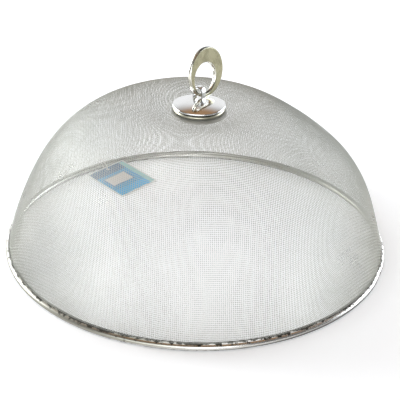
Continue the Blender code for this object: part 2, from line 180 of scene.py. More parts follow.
# Finishes
LINE_ROUGHNESS = 0.06
LINE_DEPTH = 0.000004
WAVER_SCALE = 260.0  # of uneven lines between zones
# Dark colour of painted shade: under the bead, along the seam where the mesh enters it, and in the cup's neck
# crease
PAINTED_SHADE = (0.07, 0.068, 0.058)
WIRE_BRIGHT = (0.52, 0.52, 0.48)
WIRE_DULL = (0.41, 0.415, 0.375)
WIRE_PATCHES = 25.0
STRIP_BRIGHT = (0.86, 0.85, 0.82)
STRIP_DULL = (0.74, 0.73, 0.69)
STRIP_LINES = 2600.0
PLAIN_BRIGHT = (0.62, 0.61, 0.59)
PLAIN_DULL = (0.50, 0.49, 0.47)
PLAIN_LINES = 2200.0
CHROME_BRIGHT = (0.90, 0.90, 0.90)
CHROME_DULL = (0.86, 0.86, 0.85)
CHROME_LINES = 3200.0
# Heights where the painted shade under the bead and along its seam starts and is full, and how far that line
# strays
BEAD_UNDERSIDE_SHADE = (0.0016, 0.0009, 0.0005)
BEAD_SEAM_SHADE = (0.0051, 0.0062, 0.0018)
BEAD_SHADED_SIDES = (
    # The way that each stretch of the strip with a painted dark reflection faces, the cosines from it where
    # the stretch starts and is full, and its tint
    (((-0.76, -0.55, 0.35), 0.50, 0.82), (0.34, 0.33, 0.28)),
    (((0.80, -0.45, -0.40), 0.55, 0.88), (0.13, 0.13, 0.12)),
)
# Heights where each line round the cup's edge starts and is full, and how far it strays: the dark line is
# painted shade in the neck crease, and the cream one is a painted reflection on the lip
CUP_NECK_SHADE_LINE = (0.1354, 0.1349, 0.0002)
CUP_LIP_REFLECTION_LINE = (0.1339, 0.1334, 0.0002)
CUP_PAINTED_REFLECTION = (0.58, 0.56, 0.44)
# Painted dark reflection on the strap's two sides
STRAP_PAINTED_DARK_SIDES = (0.12, 0.115, 0.10)
# Painted dark reflection on one stretch of the ring's edge
RING_PAINTED_DARK_WAY = ((0.40, 0.10, 0.91), 0.55, 0.80)  # of the darker stretch of its edge, with its cosines
RING_FACE_COSINES = (0.93, 0.985)
RING_FACE_PATCHES = 110.0
RING_PATCHES = 140.0
RING_BRIGHT = (0.82, 0.80, 0.72)
RING_WORN = (0.74, 0.72, 0.62)
RING_FACE = (0.38, 0.36, 0.24)
RING_FACE_DULL = (0.28, 0.265, 0.17)
RING_PAINTED_DARK_EDGE = (0.09, 0.085, 0.065)
CARD_BLUE = (0.0, 0.24, 0.50)
CARD_BLUE_LIGHT = (0.0, 0.37, 0.66)
CARD_WHITE = (0.84, 0.86, 0.85)
CARD_BORDER = 0.003  # both sides together
CARD_BOXES = (
    # Middle, size and colour of each printed box. x runs along the card's edge at the hole, y away from it
    ((0, 0.003), (0.047, 0.012), (0.0, 0.10, 0.25)),
    ((0, 0.041), (0.047, 0.010), (0.0, 0.42, 0.76)),
    ((-0.0205, 0.022), (0.006, 0.048), (0.30, 0.60, 0.62)),
    ((0.004, 0.021), (0.030, 0.017), (0.05, 0.20, 0.40)),
    ((0.004, 0.021), (0.027, 0.0145), (0.72, 0.69, 0.67)),
)
CARD_INK = 900.0  # fineness of the print's grain
CARD_INK_DEPTH = 0.00002
CARD_SMEARS = 120.0
THREAD_PALE = (0.88, 0.87, 0.83)
THREAD_DARK = (0.66, 0.64, 0.58)
THREAD_FIBRES = 5000.0
THREAD_DEPTH = 0.00008

# Studio
FLOOR_SIZE = 12.0
FLOOR_COLOUR = (0.84, 0.86, 0.88)
FLOOR_GLOW = 0.3  # seen by the camera and in reflections, but no light on the object
FLOOR_GRAIN = 400.0
FLOOR_GRAIN_DEPTH = 0.0001
ROOM_WALLS = (0.17, 0.17, 0.17)
ROOM_LOBES = (
    # Middle of each patch, the cosines from it where the patch starts and is full, and its colour
    ((0.0, 0.12, 0.99), (0.62, 0.97), (0.36, 0.22, 0.12)),  # wooden ceiling
    ((0.0, 0.96, 0.26), (0.66, 0.96), (0.95, 0.96, 0.97)),  # white wall behind
    ((-0.86, 0.49, 0.14), (0.80, 0.97), (5.2, 5.5, 5.8)),  # low windows on both sides
    ((0.86, 0.49, 0.14), (0.80, 0.97), (4.6, 4.9, 5.2)),
    ((-0.26, -0.95, 0.14), (0.74, 0.95), (2.9, 3.0, 3.1)),  # bright wall behind the camera
)
SOFTBOXES = (
    # Name, place, size and watts of each lamp
    ("left_softbox", (-1.35, 0.45, 0.5), (0.5, 0.9), 12.0),
    ("front_softbox", (0.25, -1.6, 0.6), (1.0, 0.5), 3.0),
)


def on_arc(middle, radius, start, end, steps):
    """Points (x, z) on an arc, from one angle to the other."""
    turns = np.linspace(start, end, steps + 1)
    return [Vector((middle[0] + radius * math.cos(a), middle[1] + radius * math.sin(a))) for a in turns]


SEAT_TOP = DOME_HEIGHT - SEAT_DEPTH
CUP_BOTTOM = SEAT_TOP + GAP
CUP_TOP = CUP_BOTTOM + CUP_HEIGHT
DISC_TOP = SEAT_TOP - DOME_SKIN - GAP
WASHER_TOP = DISC_TOP - DISC_THICKNESS - GAP
FOOT_TOP = WASHER_TOP - WASHER_THICKNESS - GAP

# Middle of the bead's section, and the way in which the mesh enters it
BEAD_RADIUS = BEAD_DIAMETER / 2
BEAD_MIDDLE = Vector((RIM_RADIUS - BEAD_RADIUS, math.sqrt(BEAD_RADIUS**2 - (BEAD_FOOT / 2) ** 2)))
SKIRT_UP = Vector((-math.sin(SKIRT_LEAN), math.cos(SKIRT_LEAN)))
SKIRT_OUT = Vector((math.cos(SKIRT_LEAN), math.sin(SKIRT_LEAN)))


class Dome:
    """The middle of the woven skin: radius and height against the length along it from the crown."""

    def __init__(self, seat_steps=24, side_steps=160, run_on=0.012):
        foot = BEAD_MIDDLE + SKIRT_UP * (CORE_WIRE_DIAMETER / 2 + GAP) + SKIRT_OUT * DOME_SKIN / 2
        crown = Vector((CROWN_RADIUS, DOME_HEIGHT))
        shoulder = crown + Vector((SHOULDER_REACH, 0))
        skirt = foot + SKIRT_UP * SKIRT_REACH
        outline = [Vector((0, SEAT_TOP))]
        for share in np.linspace(0, 1, seat_steps):
            lift = SEAT_DEPTH * (1 - math.cos(math.pi * share)) / 2
            outline.append(Vector((SEAT_RADIUS + (CROWN_RADIUS - SEAT_RADIUS) * share, SEAT_TOP + lift)))
        for t in np.linspace(0, 1, side_steps)[1:]:
            s = 1 - t
            outline.append(s**3 * crown + 3 * s * s * t * shoulder + 3 * s * t * t * skirt + t**3 * foot)
        outline.append(foot - SKIRT_UP * run_on)
        points = np.array(outline)
        along = np.gradient(points, axis=0)
        along /= np.linalg.norm(along, axis=1)[:, None]
        outward = np.stack([-along[:, 1], along[:, 0]], axis=1)
        points -= outward * DOME_SKIN / 2
        points[0, 0] = 0
        steps = np.linalg.norm(np.diff(points, axis=0), axis=1)
        self.length = np.concatenate([[0], np.cumsum(steps)])
        self.radius, self.height = points.T
        self.hem = self.length[-2]
        self.end = self.length[-1]

    def place(self, s, turn):
        """Points in space at lengths s from the crown and turns about the axis."""
        r = np.interp(s, self.length, self.radius)
        z = np.interp(s, self.length, self.height)
        return np.stack([r * np.cos(turn), r * np.sin(turn), z], axis=-1)

    def frame_at(self, s, turn, step=0.0005):
        """The ways down the dome and round it, both as long as a unit of s and of turn."""
        down = (self.place(s + step, turn) - self.place(s - step, turn)) / (2 * step)
        r = np.interp(s, self.length, self.radius)
        around = np.stack([-r * np.sin(turn), r * np.cos(turn), np.zeros_like(r)], axis=-1)
        return down, around

    def outward(self, s, turn):
        after, before = s + OUTWARD_STEP, np.maximum(s - OUTWARD_STEP, 0)
        dr = np.interp(after, self.length, self.radius) - np.interp(before, self.length, self.radius)
        dz = np.interp(after, self.length, self.height) - np.interp(before, self.length, self.height)
        size = np.hypot(dr, dz)
        level, rise = -dz / size, dr / size
        return np.stack([level * np.cos(turn), level * np.sin(turn), rise], axis=-1)

    def outer_radius_at(self, height):
        low = self.height < DOME_HEIGHT / 2
        return float(np.interp(height, self.height[low][::-1], self.radius[low][::-1])) + DOME_SKIN / 2


def weave(dome):
    """Crossings in one quarter of the cloth, each one pitch from its two neighbours.

    Gives their lengths from the crown and turns about the axis, by wire and wire.
    """
    count = int(dome.end / WIRE_PITCH) + 2
    s = np.full((count, count), np.nan)
    turn = np.full((count, count), np.nan)
    reach = np.arange(count) * WIRE_PITCH
    on = reach <= dome.end
    s[0, on], turn[0, on] = reach[on], math.pi / 2
    s[on, 0], turn[on, 0] = reach[on], 0
    for diagonal in range(2, 2 * count - 1):
        i = np.arange(max(1, diagonal - count + 1), min(count, diagonal))
        j = diagonal - i
        known = np.isfinite(s[i - 1, j]) & np.isfinite(s[i, j - 1])
        i, j = i[known], j[known]
        if not len(i):
            break
        a = dome.place(s[i - 1, j], turn[i - 1, j])
        b = dome.place(s[i, j - 1], turn[i, j - 1])
        ahead = a + b - dome.place(s[i - 1, j - 1], turn[i - 1, j - 1])
        u = s[i - 1, j] + s[i, j - 1] - s[i - 1, j - 1]
        t = np.arctan2(ahead[:, 1], ahead[:, 0])
        for _ in range(NET_ROUNDS):
            point = dome.place(u, t)
            down, around = dome.frame_at(u, t)
            off_a = ((point - a) ** 2).sum(1) - WIRE_PITCH**2
            off_b = ((point - b) ** 2).sum(1) - WIRE_PITCH**2
            a_down, a_around = 2 * ((point - a) * down).sum(1), 2 * ((point - a) * around).sum(1)
            b_down, b_around = 2 * ((point - b) * down).sum(1), 2 * ((point - b) * around).sum(1)
            area = a_down * b_around - a_around * b_down
            u = u - (off_a * b_around - off_b * a_around) / area
            t = t - (off_b * a_down - off_a * b_down) / area
        fits = u <= dome.end
        s[i[fits], j[fits]], turn[i[fits], j[fits]] = u[fits], t[fits]
    return s, turn


def whole_cloth(s, turn):
    """All four quarters, mirrored from one, with wire numbers from -n to n."""
    n = len(s) - 1
    i, j = np.meshgrid(np.arange(-n, n + 1), np.arange(-n, n + 1), indexing="ij")
    at = np.abs(i), np.abs(j)
    t = np.where(i < 0, math.pi - turn[at], turn[at])
    return s[at], np.where(j < 0, -t, t) + WEAVE_TURN, (i + j) % 2 * 2 - 1


def shape_of_dome(s, turn):
    """How far the used dome stands off a true one, from its knocks."""
    off = np.zeros_like(s)
    for middle, reach, side, height in KNOCKS:
        share = np.clip(1 - np.abs(s - middle) / reach, 0, 1)
        off += height * share * share * (3 - 2 * share) * np.clip(side * np.cos(turn), 0, 1)
    return off


def wire_line(dome, s, turn, over):
    """One wire's points and outward ways, from hem to hem, over and under the wires that cross it."""
    on = np.flatnonzero(np.isfinite(s))
    s, turn, over = s[on], np.unwrap(turn[on]), over[on]
    inside = np.flatnonzero(s < dome.hem)
    if len(inside) < 2:
        return None
    first, last = inside[0], inside[-1]
    if first == 0 or last == len(s) - 1:
        return None
    for end, near in ((first - 1, first), (last + 1, last)):
        share = (dome.hem - s[near]) / (s[end] - s[near])
        s[end] = dome.hem
        turn[end] = turn[near] + share * (turn[end] - turn[near])
        over[end] = 0
    s, turn, over = (a[first - 1 : last + 2] for a in (s, turn, over))
    outward = dome.outward(s, turn)
    lift = shape_of_dome(s, turn) + over * WIRE_RADIUS
    return dome.place(s, turn) + outward * lift[:, None], outward


def tubes(name, lines, radius, sides):
    """One mesh of tubes along lines of points, each with its outward ways."""
    vertices, faces, start = [], [], 0
    angles = math.tau * (np.arange(sides) + 0.5) / sides
    for points, outward in lines:
        along = np.gradient(points, axis=0)
        across = np.cross(along, outward)
        across /= np.linalg.norm(across, axis=1)[:, None]
        up = np.cross(across, along)
        up /= np.linalg.norm(up, axis=1)[:, None]
        rings = [points + radius * (up * math.cos(a) + across * math.sin(a)) for a in angles]
        vertices.append(np.stack(rings, axis=1).reshape(-1, 3))
        ring = start + sides * np.arange(len(points) - 1)[:, None] + np.arange(sides)
        after = start + sides * np.arange(len(points) - 1)[:, None] + (np.arange(sides) + 1) % sides
        faces.append(np.stack([ring, ring + sides, after + sides, after], axis=-1).reshape(-1, 4))
        start += sides * len(points)
    mesh = bpy.data.meshes.new(name)
    vertices, faces = np.concatenate(vertices), np.concatenate(faces)
    mesh.vertices.add(len(vertices))
    mesh.vertices.foreach_set("co", vertices.ravel())
    mesh.loops.add(faces.size)
    mesh.loops.foreach_set("vertex_index", faces.ravel())
    mesh.polygons.add(len(faces))
    mesh.polygons.foreach_set("loop_start", np.arange(len(faces)) * 4)
    mesh.polygons.foreach_set("loop_total", np.full(len(faces), 4))
    mesh.update(calc_edges=True)
    mesh.shade_smooth()
    return mesh


def place(name, mesh, material, body, replaced=()):
    """A piece made of this mesh, which rides on a body and stands for these CAD nodes."""
    piece = bpy.data.objects.new(name, mesh)
    bpy.context.scene.collection.objects.link(piece)
    mesh.materials.append(material)
    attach(piece, body)
    if replaced:
        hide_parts(*replaced)
    return piece


def make_wires(material):
    dome = Dome()
    s, turn, over = whole_cloth(*weave(dome))
    for name, across in (("mesh_warp", False), ("mesh_weft", True)):
        if across:
            s, turn, over = s.T, turn.T, -over.T
        lines = [wire_line(dome, s[:, j], turn[:, j], over[:, j]) for j in range(s.shape[1])]
        lines = [line for line in lines if line]
        for first in range(WIRE_PIECES):
            mesh = tubes(f"{name}_{first + 1}", lines[first::WIRE_PIECES], WIRE_RADIUS, WIRE_SIDES)
            place(mesh.name, mesh, material, "cover", ["mesh_dome"])
    return dome


def smooth(mesh, sharp=math.radians(40)):
    mesh.shade_smooth()
    mesh.set_sharp_from_angle(angle=sharp)
    return mesh


def shell(outline, wall):
    """A closed section (r, z): the outline, and then back along its copy, one wall to its left."""
    points = np.array(outline)
    ways = np.diff(points, axis=0)
    ways /= np.linalg.norm(ways, axis=1)[:, None]
    before, after = np.vstack([ways[:1], ways]), np.vstack([ways, ways[-1:]])
    left = np.stack([before[:, 1] + after[:, 1], -before[:, 0] - after[:, 0]], axis=1)
    left /= np.linalg.norm(left, axis=1)[:, None]
    even = 1 / np.maximum((left * np.stack([after[:, 1], -after[:, 0]], axis=1)).sum(1), 0.5)
    inner = points + left * (wall * even)[:, None]
    inner[:, 0] = np.where(points[:, 0] < 1e-6, 0, inner[:, 0])
    return np.vstack([points, inner[::-1]])


def lathe(name, section, steps, start=0.0, turn=math.tau, wobble=None):
    """A closed section (r, z) turned about Z. The wobble gives each facet line's shift outwards and up."""
    whole = turn == math.tau
    lines = steps if whole else steps + 1
    shape = bmesh.new()
    rings = []
    for k in range(lines):
        angle = start + turn * k / steps
        out, up = wobble(angle) if wobble else (0, 0)
        way = math.cos(angle), math.sin(angle)
        rings.append([
            shape.verts.new(((r + out) * way[0], (r + out) * way[1], z + up)) for r, z in section
        ])
    for k in range(steps):
        near, far = rings[k], rings[(k + 1) % lines]
        for n in range(len(section)):
            m = (n + 1) % len(section)
            shape.faces.new((near[n], far[n], far[m], near[m]))
    if not whole:
        shape.faces.new(rings[0])
        shape.faces.new(rings[-1][::-1])
    bmesh.ops.remove_doubles(shape, verts=shape.verts[:], dist=MERGE)
    bmesh.ops.recalc_face_normals(shape, faces=shape.faces[:])
    mesh = bpy.data.meshes.new(name)
    shape.to_mesh(mesh)
    shape.free()
    return smooth(mesh)


def sweep(name, path, profile, across=Vector((0, 1, 0))):
    """A closed profile (out, aside) carried along a path in the XZ plane, with both ends closed."""
    points = np.array([(p[0], 0, p[1]) for p in path])
    along = np.gradient(points, axis=0)
    along /= np.linalg.norm(along, axis=1)[:, None]
    shape = bmesh.new()
    rings = []
    for point, way in zip(points, along):
        out = Vector(way).cross(across)
        rings.append([shape.verts.new(Vector(point) + out * a + across * b) for a, b in profile])
    for near, far in zip(rings, rings[1:]):
        for n in range(len(profile)):
            m = (n + 1) % len(profile)
            shape.faces.new((near[n], far[n], far[m], near[m]))
    shape.faces.new(rings[0])
    shape.faces.new(rings[-1][::-1])
    bmesh.ops.recalc_face_normals(shape, faces=shape.faces[:])
    mesh = bpy.data.meshes.new(name)
    shape.to_mesh(mesh)
    shape.free()
    return smooth(mesh)


def rounded_box(width, height, corner, steps=5):
    """Points of a rectangle with rounded corners, about its middle."""
    points = []
    for quarter, (x, y) in enumerate(((1, 1), (-1, 1), (-1, -1), (1, -1))):
        middle = (x * (width / 2 - corner), y * (height / 2 - corner))
        points += on_arc(middle, corner, quarter * math.pi / 2, (quarter + 1) * math.pi / 2, steps)
    return points


def bead_wobble(angle):
    """Small unevenness of the hand-fed strip, always inwards of the true circle."""
    wave = sum(weight * math.sin(count * angle + start) for weight, count, start in BEAD_WAVES)
    most = sum(weight for weight, _, _ in BEAD_WAVES)
    kink = math.exp(-(((angle - BEAD_KINK_TURN + math.pi) % math.tau - math.pi) / BEAD_KINK_REACH) ** 2)
    return -BEAD_WAVE * (most + wave) / (2 * most) - BEAD_KINK * kink, 0


def make_rim(material):
    up = math.pi / 2 + SKIRT_LEAN
    slit = math.asin((DOME_SKIN / 2 + GAP + BEAD_WALL) / BEAD_RADIUS)
    foot = math.asin(BEAD_FOOT / 2 / BEAD_RADIUS)
    down = -math.pi / 2
    outline = on_arc(BEAD_MIDDLE, BEAD_RADIUS, up - slit, down + foot, BEAD_STEPS)
    outline += on_arc(BEAD_MIDDLE, BEAD_RADIUS, down - foot, up + slit - math.tau, BEAD_STEPS)
    outline = [outline[0] + SKIRT_UP * BEAD_LIP, *outline, outline[-1] + SKIRT_UP * BEAD_LIP]
    seam = BEAD_SEAM_GAP / RIM_RADIUS
    section = shell(outline, BEAD_WALL)
    mesh = lathe("rim_strip", section, RIM_STEPS, BEAD_SEAM_TURN + seam / 2, math.tau - seam, bead_wobble)
    place("rim_strip", mesh, material, "cover", ["rim_bead"])


def dome_arc(edge, top, steps):
    """A low spherical dome, from its top on the axis to its edge."""
    rise = top - edge.y
    radius = (edge.x**2 + rise**2) / (2 * rise)
    return on_arc((0, top - radius), radius, math.pi / 2, math.pi / 2 - math.asin(edge.x / radius), steps)


def make_cup(material):
    widest = (CUP_RADIUS - CUP_EDGE_ROUND, CUP_BOTTOM + CUP_EDGE_HEIGHT)
    shoulder = math.radians(60)
    edge = on_arc(widest, CUP_EDGE_ROUND, shoulder, -shoulder, 12)
    lip = (CUP_LIP_RADIUS - CUP_LIP_ROUND, CUP_BOTTOM + CUP_LIP_ROUND)
    outline = dome_arc(edge[0], CUP_TOP, 24)[:-1] + edge
    outline.append(Vector((CUP_NECK_RADIUS, CUP_BOTTOM + CUP_NECK_HEIGHT)))
    outline += on_arc(lip, CUP_LIP_ROUND, shoulder, -math.pi / 2, 12)
    mesh = lathe("knob_dome", shell(outline, CUP_WALL), KNOB_STEPS)
    place("knob_dome", mesh, material, "cover", ["knob_cup"])


def make_clamp(material):
    """The disc, with a pressed groove and its edge turned down, and the washer under it."""
    edge = (DISC_RADIUS - DISC_EDGE_ROUND, DISC_TOP - DISC_EDGE_ROUND)
    outline = [Vector((0, DISC_TOP)), Vector((WASHER_RADIUS, DISC_TOP))]
    for share in np.linspace(0, 1, 13):
        r = DISC_GROOVE_RADIUS + (share - 0.5) * DISC_GROOVE_WIDTH
        outline.append(Vector((r, DISC_TOP - DISC_GROOVE_DEPTH * math.sin(math.pi * share) ** 2)))
    outline += on_arc(edge, DISC_EDGE_ROUND, math.pi / 2, 0, 10)
    mesh = lathe("clamp_disc", shell(outline, DISC_THICKNESS), KNOB_STEPS)
    place("clamp_disc", mesh, material, "cover", ["backing_disc"])

    bottom = WASHER_TOP - WASHER_THICKNESS
    side = WASHER_RADIUS - WASHER_EDGE
    section = [(0, WASHER_TOP)]
    section += on_arc((side, WASHER_TOP - WASHER_EDGE), WASHER_EDGE, math.pi / 2, 0, 4)
    section += on_arc((side, bottom + WASHER_EDGE), WASHER_EDGE, 0, -math.pi / 2, 4)
    section.append((0, bottom))
    mesh = lathe("clamp_washer", section, KNOB_STEPS)
    place("clamp_washer", mesh, material, "cover", ["clinch_washer"])


def knob_turn():
    """From the strap's own axes, with the swing axis along X, to the object's."""
    return Matrix.Translation((0, 0, RING_AXIS_HEIGHT)) @ Matrix.Rotation(RING_TURN, 4, "Z")


def make_strap(material):
    leg = (STRAP_SPAN + STRAP_THICKNESS) / 2
    arch = CUP_TOP + STRAP_RISE - STRAP_THICKNESS / 2 - leg
    bend = (leg + STRAP_BEND, FOOT_TOP - STRAP_THICKNESS / 2 + STRAP_BEND)
    half = [Vector((bend[0] + STRAP_FOOT, bend[1] - STRAP_BEND))]
    half += on_arc(bend, STRAP_BEND, -math.pi / 2, -math.pi, 8)
    path = half + on_arc((0, arch), leg, 0, math.pi, 32) + [Vector((-x, z)) for x, z in reversed(half)]
    mesh = sweep("strap", path, rounded_box(STRAP_THICKNESS, STRAP_WIDTH, STRAP_EDGE))
    down = Matrix.Translation((0, 0, -RING_AXIS_HEIGHT))
    mesh.transform(knob_turn() @ down @ Matrix.Rotation(math.pi / 2, 4, "Z"))
    place("strap", mesh, material, "cover", ["ring_strap"])


def strap_side_way():
    return knob_turn().to_3x3() @ Vector((1, 0, 0))


def ring_face_way():
    return (knob_turn() @ Matrix.Rotation(math.pi / 2 - RING_TIP, 4, "X")).to_3x3() @ Vector((0, 0, 1))


def make_ring(material):
    """The flat ring: its outer and inner sides with rounded edges, joined by flat faces."""
    half = RING_THICKNESS / 2
    away = Vector((math.sin(RING_SLIP), math.cos(RING_SLIP), 0))
    ring_middle = away * (RING_RADIUS - RING_THIN_BAND / 2)
    hole_middle = away * (RING_THIN_BAND / 2 + RING_HOLE_RADIUS)
    quarter = math.pi / 2
    outer = [(RING_RADIUS - 2 * RING_EDGE, -half)]
    for side, start in ((-1, -quarter), (1, 0)):
        middle = (RING_RADIUS - RING_EDGE, side * (half - RING_EDGE))
        outer += on_arc(middle, RING_EDGE, start, start + quarter, 6)
    outer.append((RING_RADIUS - 2 * RING_EDGE, half))
    inner = [(RING_HOLE_RADIUS + RING_BEVEL + RING_EDGE / 2, half)]
    for side, start in ((1, quarter), (-1, math.pi)):
        middle = (RING_HOLE_RADIUS + RING_BEVEL, side * (half - RING_BEVEL))
        inner += on_arc(middle, RING_BEVEL, start, start + quarter, 6)
    inner.append((RING_HOLE_RADIUS + RING_BEVEL + RING_EDGE / 2, -half))
    shape = bmesh.new()
    loops = []
    turns = [math.tau * k / RING_STEPS for k in range(RING_STEPS)]
    ways = [(math.cos(a), math.sin(a)) for a in turns]
    for middle, profile in ((ring_middle, outer), (hole_middle, inner)):
        for radius, height in profile:
            places_round = [middle + Vector((radius * x, radius * y, height)) for x, y in ways]
            loops.append([shape.verts.new(point) for point in places_round])
    for near, far in zip(loops, loops[1:] + loops[:1]):
        for k in range(RING_STEPS):
            m = (k + 1) % RING_STEPS
            shape.faces.new((near[k], near[m], far[m], far[k]))
    bmesh.ops.recalc_face_normals(shape, faces=shape.faces[:])
    mesh = bpy.data.meshes.new("ring")
    shape.to_mesh(mesh)
    shape.free()
    mesh.transform(knob_turn() @ Matrix.Rotation(math.pi / 2 - RING_TIP, 4, "X"))
    place("ring", smooth(mesh), material, "ring", ["pull_ring"])


def tag_hole():
    away = Vector((math.cos(TAG_TURN), math.sin(TAG_TURN), 0))
    return away * TAG_HOLE_DISTANCE + Vector((0, 0, TAG_HOLE_HEIGHT))


def card_place():
    slope = math.asin((TAG_HOLE_HEIGHT - TAG_THICKNESS / 2 - GAP) / (TAG_LENGTH - TAG_HOLE_INSET))
    turn = Matrix.Rotation(TAG_TURN + math.pi / 2 + TAG_SKEW, 4, "Z") @ Matrix.Rotation(-slope, 4, "X")
    return Matrix.Translation(tag_hole()) @ turn


def make_card(material):
    """The card: a grid with its corners drawn into rounds, slightly bowed, with a punched hole."""
    half_width, half_length = TAG_WIDTH / 2, TAG_LENGTH / 2
    middle = half_length - TAG_HOLE_INSET
    lines = []
    for half in (half_width, half_length):
        inner = np.linspace(-half + TAG_CORNER, half - TAG_CORNER, 25)
        edge = TAG_CORNER * np.linspace(0, 1, 5)[:-1]
        lines.append(np.concatenate([-half + edge, inner, half - edge[::-1]]))
    shape = bmesh.new()
    grid = []
    for x in lines[0]:
        row = []
        for y in lines[1]:
            square = half_width - TAG_CORNER, half_length - TAG_CORNER
            corner = Vector((math.copysign(square[0], x), math.copysign(square[1], y)))
            off = Vector((x, y)) - corner
            at = Vector((x, y))
            if off.x * x > 0 and off.y * y > 0:
                at = corner + off * max(abs(off.x), abs(off.y)) / off.length
            bow = TAG_BOW * (1 - (x / half_width) ** 2)
            row.append(shape.verts.new((at.x, at.y + middle, bow - TAG_BOW / 2)))
        grid.append(row)
    for near, far in zip(grid, grid[1:]):
        for n in range(len(near) - 1):
            shape.faces.new((near[n], far[n], far[n + 1], near[n + 1]))
    mesh = bpy.data.meshes.new("card")
    shape.to_mesh(mesh)
    shape.free()
    card = bpy.data.objects.new("card_blank", mesh)
    solidify = card.modifiers.new("thickness", "SOLIDIFY")
    solidify.thickness = TAG_THICKNESS
    solidify.offset = 0
    punch = bpy.data.objects.new("punch", lathe("punch", [
        (0, -TAG_LENGTH), (TAG_HOLE_RADIUS, -TAG_LENGTH), (TAG_HOLE_RADIUS, TAG_LENGTH), (0, TAG_LENGTH)
    ], 32))
    cut = card.modifiers.new("hole", "BOOLEAN")
    cut.object = punch
    for obj in (card, punch):
        bpy.context.scene.collection.objects.link(obj)
    bpy.context.view_layer.update()
    mesh = bpy.data.meshes.new_from_object(card.evaluated_get(bpy.context.evaluated_depsgraph_get()))
    for obj in (card, punch):
        bpy.data.objects.remove(obj)
    mesh.materials.clear()
    piece = place("card", smooth(mesh), material, "tag", ["tag_card"])
    piece.matrix_world = card_place()
    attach(piece, "tag")


def tie_route(dome):
    """Corners of the thread loop: x runs outwards from the card's hole, and z is the height."""
    in_low = dome.outer_radius_at(TIE_LOW_HEIGHT) - TAG_HOLE_DISTANCE
    in_high = dome.outer_radius_at(TIE_HIGH_HEIGHT) - TAG_HOLE_DISTANCE
    outside = TIE_DIAMETER / 2 + GAP
    under = TAG_HOLE_HEIGHT - TIE_SAG
    over = TAG_HOLE_HEIGHT + TIE_RISE
    round_edge = TAG_HOLE_INSET + TIE_DIAMETER / 2 + TIE_ROOM
    turn = math.radians(45)
    return [
        (TIE_PULL, under),
        (TIE_PULL, TAG_HOLE_HEIGHT),
        (TIE_PULL, over),
        (in_high / 2, (over + TIE_HIGH_HEIGHT) / 2),
        (in_high, TIE_HIGH_HEIGHT),
        (in_high + 2 * outside, (TIE_HIGH_HEIGHT + TIE_LOW_HEIGHT) / 2),
        (in_low, TIE_LOW_HEIGHT),
        (round_edge * math.cos(turn), TAG_HOLE_HEIGHT - round_edge * math.sin(turn)),
    ]


def round_trip(corners, steps):
    """Points on a smooth closed curve through the corners, ending where it starts."""
    points = []
    for i in range(steps + 1):
        at = i * len(corners) / steps
        k, t = int(at), at - int(at)
        a, b, c, d = (Vector(corners[(k + j) % len(corners)]) for j in (-1, 0, 1, 2))
        first, second, third = c - a, 2 * a - 5 * b + 4 * c - d, 3 * b - a - 3 * c + d
        points.append(b + first * t / 2 + second * t**2 / 2 + third * t**3 / 2)
    return points


def make_tie(dome, material):
    """Two strands twisted round the loop's line."""
    route = np.array([(out, 0, height) for out, height in round_trip(tie_route(dome), TIE_STEPS)])
    along = np.gradient(route, axis=0)
    along /= np.linalg.norm(along, axis=1)[:, None]
    side = np.array((0, 1, 0))
    over = np.cross(along, side)
    strand = TIE_DIAMETER / 4
    strands = []
    for start in (0, math.pi):
        twist = start + math.tau * TIE_TWISTS * np.linspace(0, 1, len(route))[:, None]
        away = side * np.cos(twist) + over * np.sin(twist)
        strands.append((route + away * strand, away))
    mesh = tubes("thread_loop", strands, strand * TIE_FULLNESS, 6)
    mesh.transform(Matrix.Translation((tag_hole().x, tag_hole().y, 0)) @ Matrix.Rotation(TAG_TURN, 4, "Z"))
    place("thread_loop", mesh, material, "cover", ["tag_tie"])


def node(tree, kind, inputs=None, **settings):
    """A shader node with these settings. An input gets a value, or a link to another node's output."""
    made = tree.nodes.new(kind)
    for name, value in settings.items():
        setattr(made, name, value)
    for name, value in (inputs or {}).items():
        if isinstance(value, bpy.types.NodeSocket):
            tree.links.new(value, made.inputs[name])
        else:
            made.inputs[name].default_value = value
    return made


def new_material(name, colour, metallic, roughness):
    """A material with one Principled shader, and that shader."""
    material = bpy.data.materials.new(name)
    material.use_nodes = True
    shader = material.node_tree.nodes["Principled BSDF"]
    shader.inputs["Base Color"].default_value = (*colour, 1)
    shader.inputs["Metallic"].default_value = metallic
    shader.inputs["Roughness"].default_value = roughness
    return material, shader


def places(tree):
    return node(tree, "ShaderNodeTexCoord").outputs["Object"]


def noise(tree, where, scale, detail=4.0, roughness=0.55):
    return node(tree, "ShaderNodeTexNoise", {
        "Vector": where, "Scale": scale, "Detail": detail, "Roughness": roughness
    }).outputs["Fac"]


def spread(tree, value, low, high, start=0.3, end=0.7):
    """The value's range from start to end, mapped to low to high."""
    return node(tree, "ShaderNodeMapRange", {
        "Value": value, "From Min": start, "From Max": end, "To Min": low, "To Max": high
    }).outputs["Result"]


def smooth_share(tree, value, ends):
    """0 to 1, smoothly, as the value goes from one end to the other."""
    return node(tree, "ShaderNodeMapRange", {
        "Value": value, "From Min": ends[0], "From Max": ends[1], "To Min": 0, "To Max": 1
    }, interpolation_type="SMOOTHSTEP").outputs["Result"]


def blend_colours(tree, share, first, second):
    mixed = node(tree, "ShaderNodeMix", data_type="RGBA")
    tree.links.new(share, mixed.inputs["Factor"])
    for socket, colour in ((mixed.inputs[6], first), (mixed.inputs[7], second)):
        if isinstance(colour, bpy.types.NodeSocket):
            tree.links.new(colour, socket)
        else:
            socket.default_value = (*colour, 1)
    return mixed.outputs[2]


def blend_values(tree, share, first, second):
    return node(tree, "ShaderNodeMix", {"Factor": share, 2: first, 3: second}, data_type="FLOAT").outputs[0]


